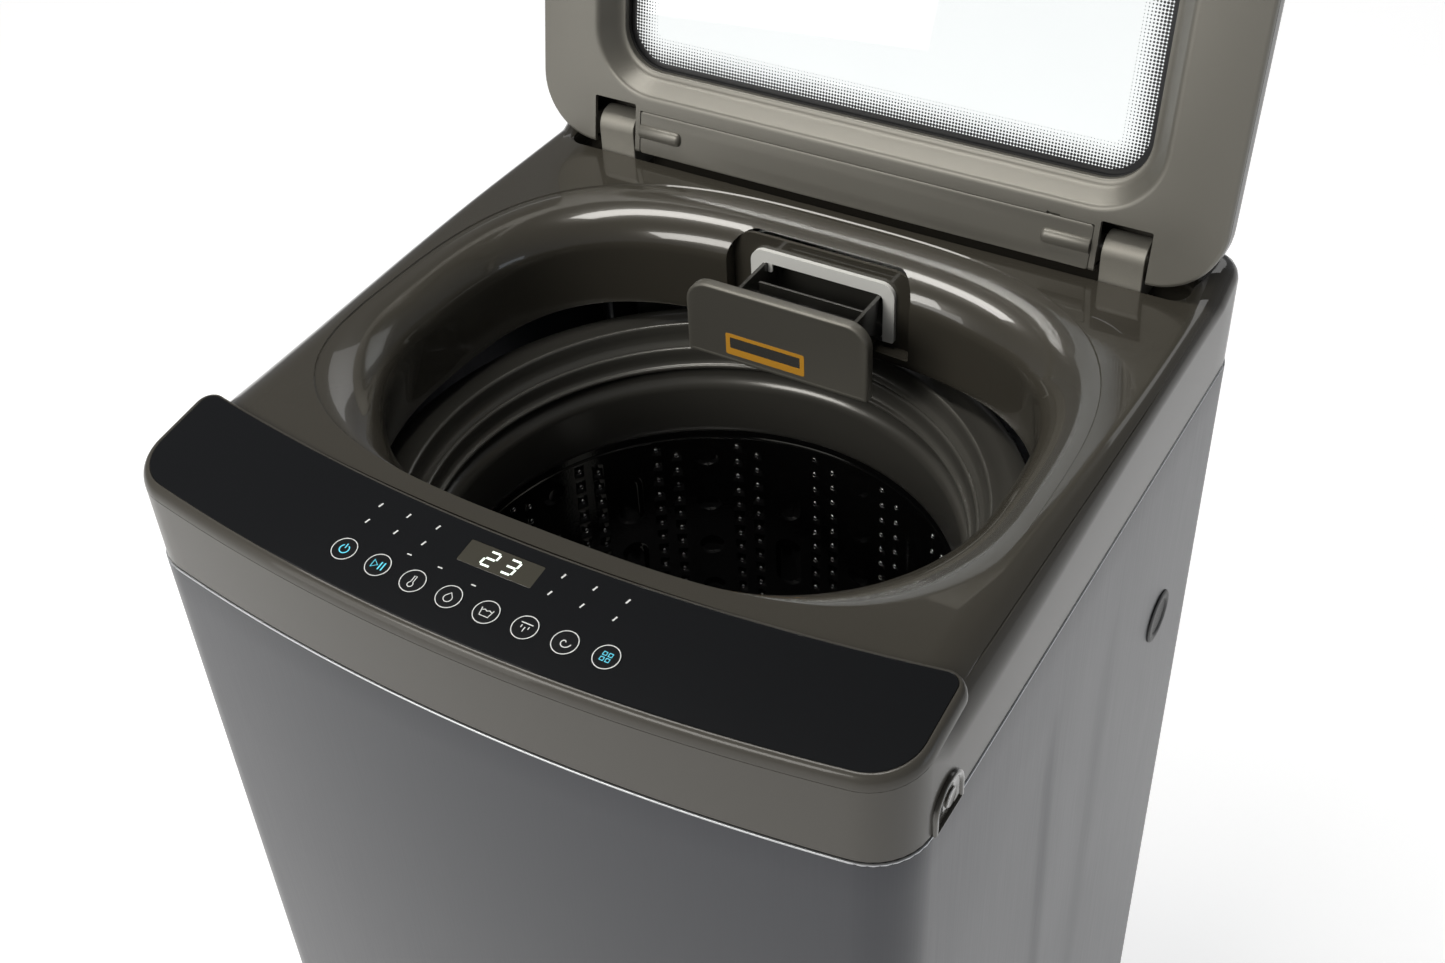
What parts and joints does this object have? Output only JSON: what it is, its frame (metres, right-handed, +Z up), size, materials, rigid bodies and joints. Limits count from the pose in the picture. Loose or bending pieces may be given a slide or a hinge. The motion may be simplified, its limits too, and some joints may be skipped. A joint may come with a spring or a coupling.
{
  "type": "top load washing machine",
  "caption": "Free-standing top load washing machine with a bowed steel cabinet, funnel top cover, key console, glazed hinged lid, pull-out detergent drawer, hung tub and belt driven basket.",
  "frame": {"origin": "centre of the bounding box on the floor under the feet, with the lid open as at rest", "axes": "+Z up, -Y out of the bowed front, +X to the right of someone facing the front"},
  "size_m": [0.554, 0.5946, 1.3582],
  "materials": {
    "cabinet_steel": "satin pre-coated steel with a fine vertical brush",
    "zinc_steel": "galvanised sheet",
    "cover_plastic": "moulded metallic olive grey, glossy",
    "satin_plastic": "satin metallic grey",
    "ring_plastic": "dark grey moulded plastic",
    "panel_black": "glossy black",
    "window_smoke": "smoked window",
    "board_green": "printed circuit board",
    "base_plastic": "dark grained plastic",
    "white_plastic": "white plastic",
    "tub_plastic": "grey filled plastic",
    "basket_steel": "perforated stainless sheet",
    "pulsator_plastic": "dark plastic",
    "cast_alloy": "die cast",
    "plain_steel": "bright steel",
    "motor_paint": "painted motor case",
    "black_rubber": "matt black rubber",
    "lid_glass": "clear toughened glass with a dotted black edge"
  },
  "bodies": {
    "cabinet": {"cabinet_wrap": "cabinet_steel", "back_panel": "zinc_steel", "base_frame": "base_plastic", "corner_brackets": "zinc_steel", "top_cover": "cover_plastic", "rear_cover": "cover_plastic", "console_bezel": "cover_plastic", "control_panel": "panel_black", "display_window": "window_smoke", "control_board": "board_green", "hinge_brackets": "cover_plastic", "detergent_housing": "white_plastic", "inlet_valves": "white_plastic", "side_screw_covers": "cover_plastic", "cabinet_plugs": "base_plastic", "panel_screws": "plain_steel", "foot_lock_nuts": "zinc_steel", "rear_feet": "black_rubber", "suspension_rods": "zinc_steel", "suspension_springs": "zinc_steel", "cord_gland": "black_rubber", "drain_elbow": "base_plastic", "drain_bellows": "black_rubber"},
    "lid": {"lid_shell": "cover_plastic", "lid_inner_frame": "satin_plastic", "lid_glass": "lid_glass", "lid_gasket": "black_rubber", "hinge_strip": "satin_plastic", "hinge_pins": "plain_steel", "lid_dampers": "black_rubber"},
    "drawer": {"drawer_tray": "base_plastic", "drawer_front": "satin_plastic", "siphon_insert": "base_plastic"},
    "tub": {"outer_tub": "tub_plastic", "tub_cover": "ring_plastic", "tub_base_plate": "zinc_steel", "motor": "motor_paint", "gearbox": "cast_alloy", "drive_belt": "black_rubber", "drain_valve": "base_plastic"},
    "basket": {"basket_wall": "basket_steel", "basket_base": "pulsator_plastic", "balance_ring": "ring_plastic", "basket_hub": "cast_alloy", "lint_filter": "white_plastic"},
    "pulsator": {"pulsator": "pulsator_plastic", "pulsator_bolt": "plain_steel", "wash_shaft": "plain_steel"},
    "drive_pulley": {"drive_pulley": "cast_alloy"},
    "motor_pulley": {"motor_pulley": "cast_alloy"},
    "front_foot_left": {"front_foot_left": "black_rubber"},
    "front_foot_right": {"front_foot_right": "black_rubber"},
    "key_power": {"key_power": "panel_black"},
    "key_start": {"key_start": "panel_black"},
    "key_temperature": {"key_temperature": "panel_black"},
    "key_water": {"key_water": "panel_black"},
    "key_soak": {"key_soak": "panel_black"},
    "key_rinse": {"key_rinse": "panel_black"},
    "key_spin": {"key_spin": "panel_black"},
    "key_mode": {"key_mode": "panel_black"}
  },
  "joints": [
    {"name": "lid_hinge", "type": "hinge", "parent": "cabinet", "child": "lid", "pos_m": [0, 0.20866, 0.942], "axis": [1, 0, 0], "range_deg": [0, 100]},
    {"name": "drawer_slide", "type": "slide", "parent": "cabinet", "child": "drawer", "axis": [0, 1, 0], "range_m": [0, 0.06]},
    {"name": "tub_suspension", "type": "slide", "parent": "cabinet", "child": "tub", "axis": [0, 0, 1], "range_m": [-0.02, 0.01], "stiffness_N_per_m": 14000, "springref_m": 0.0175, "deforming": ["suspension_springs", "drain_bellows"]},
    {"name": "basket_spin", "type": "hinge", "parent": "tub", "child": "basket", "pos_m": [0, -0.03834, 0.5], "axis": [0, 0, 1], "continuous": true},
    {"name": "pulsator_spin", "type": "hinge", "parent": "tub", "child": "pulsator", "pos_m": [0, -0.03834, 0.35], "axis": [0, 0, 1], "continuous": true},
    {"name": "drive_pulley_spin", "type": "hinge", "parent": "tub", "child": "drive_pulley", "pos_m": [0, -0.03834, 0.17], "axis": [0, 0, 1], "continuous": true},
    {"name": "motor_pulley_spin", "type": "hinge", "parent": "tub", "child": "motor_pulley", "pos_m": [0, 0.13166, 0.17], "axis": [0, 0, 1], "continuous": true},
    {"name": "key_power_press", "type": "slide", "parent": "cabinet", "child": "key_power", "axis": [0, -0.1513, 0.9885], "range_m": [-0.0008, 0], "stiffness_N_per_m": 400},
    {"name": "key_start_press", "type": "slide", "parent": "cabinet", "child": "key_start", "axis": [0, -0.1513, 0.9885], "range_m": [-0.0008, 0], "stiffness_N_per_m": 400},
    {"name": "key_temperature_press", "type": "slide", "parent": "cabinet", "child": "key_temperature", "axis": [0, -0.1513, 0.9885], "range_m": [-0.0008, 0], "stiffness_N_per_m": 400},
    {"name": "key_water_press", "type": "slide", "parent": "cabinet", "child": "key_water", "axis": [0, -0.1513, 0.9885], "range_m": [-0.0008, 0], "stiffness_N_per_m": 400},
    {"name": "key_soak_press", "type": "slide", "parent": "cabinet", "child": "key_soak", "axis": [0, -0.1513, 0.9885], "range_m": [-0.0008, 0], "stiffness_N_per_m": 400},
    {"name": "key_rinse_press", "type": "slide", "parent": "cabinet", "child": "key_rinse", "axis": [0, -0.1513, 0.9885], "range_m": [-0.0008, 0], "stiffness_N_per_m": 400},
    {"name": "key_spin_press", "type": "slide", "parent": "cabinet", "child": "key_spin", "axis": [0, -0.1513, 0.9885], "range_m": [-0.0008, 0], "stiffness_N_per_m": 400},
    {"name": "key_mode_press", "type": "slide", "parent": "cabinet", "child": "key_mode", "axis": [0, -0.1513, 0.9885], "range_m": [-0.0008, 0], "stiffness_N_per_m": 400},
    {"name": "foot_left_turn", "type": "hinge", "parent": "cabinet", "child": "front_foot_left", "pos_m": [-0.215, -0.22734, 0.03], "axis": [0, 0, 1], "continuous": true},
    {"name": "foot_right_turn", "type": "hinge", "parent": "cabinet", "child": "front_foot_right", "pos_m": [0.215, -0.22734, 0.03], "axis": [0, 0, 1], "continuous": true}
  ],
  "couplings": [
    {"joint": "drive_pulley_spin", "follows": "pulsator_spin", "ratio": 5},
    {"joint": "motor_pulley_spin", "follows": "pulsator_spin", "ratio": 25}
  ]
}
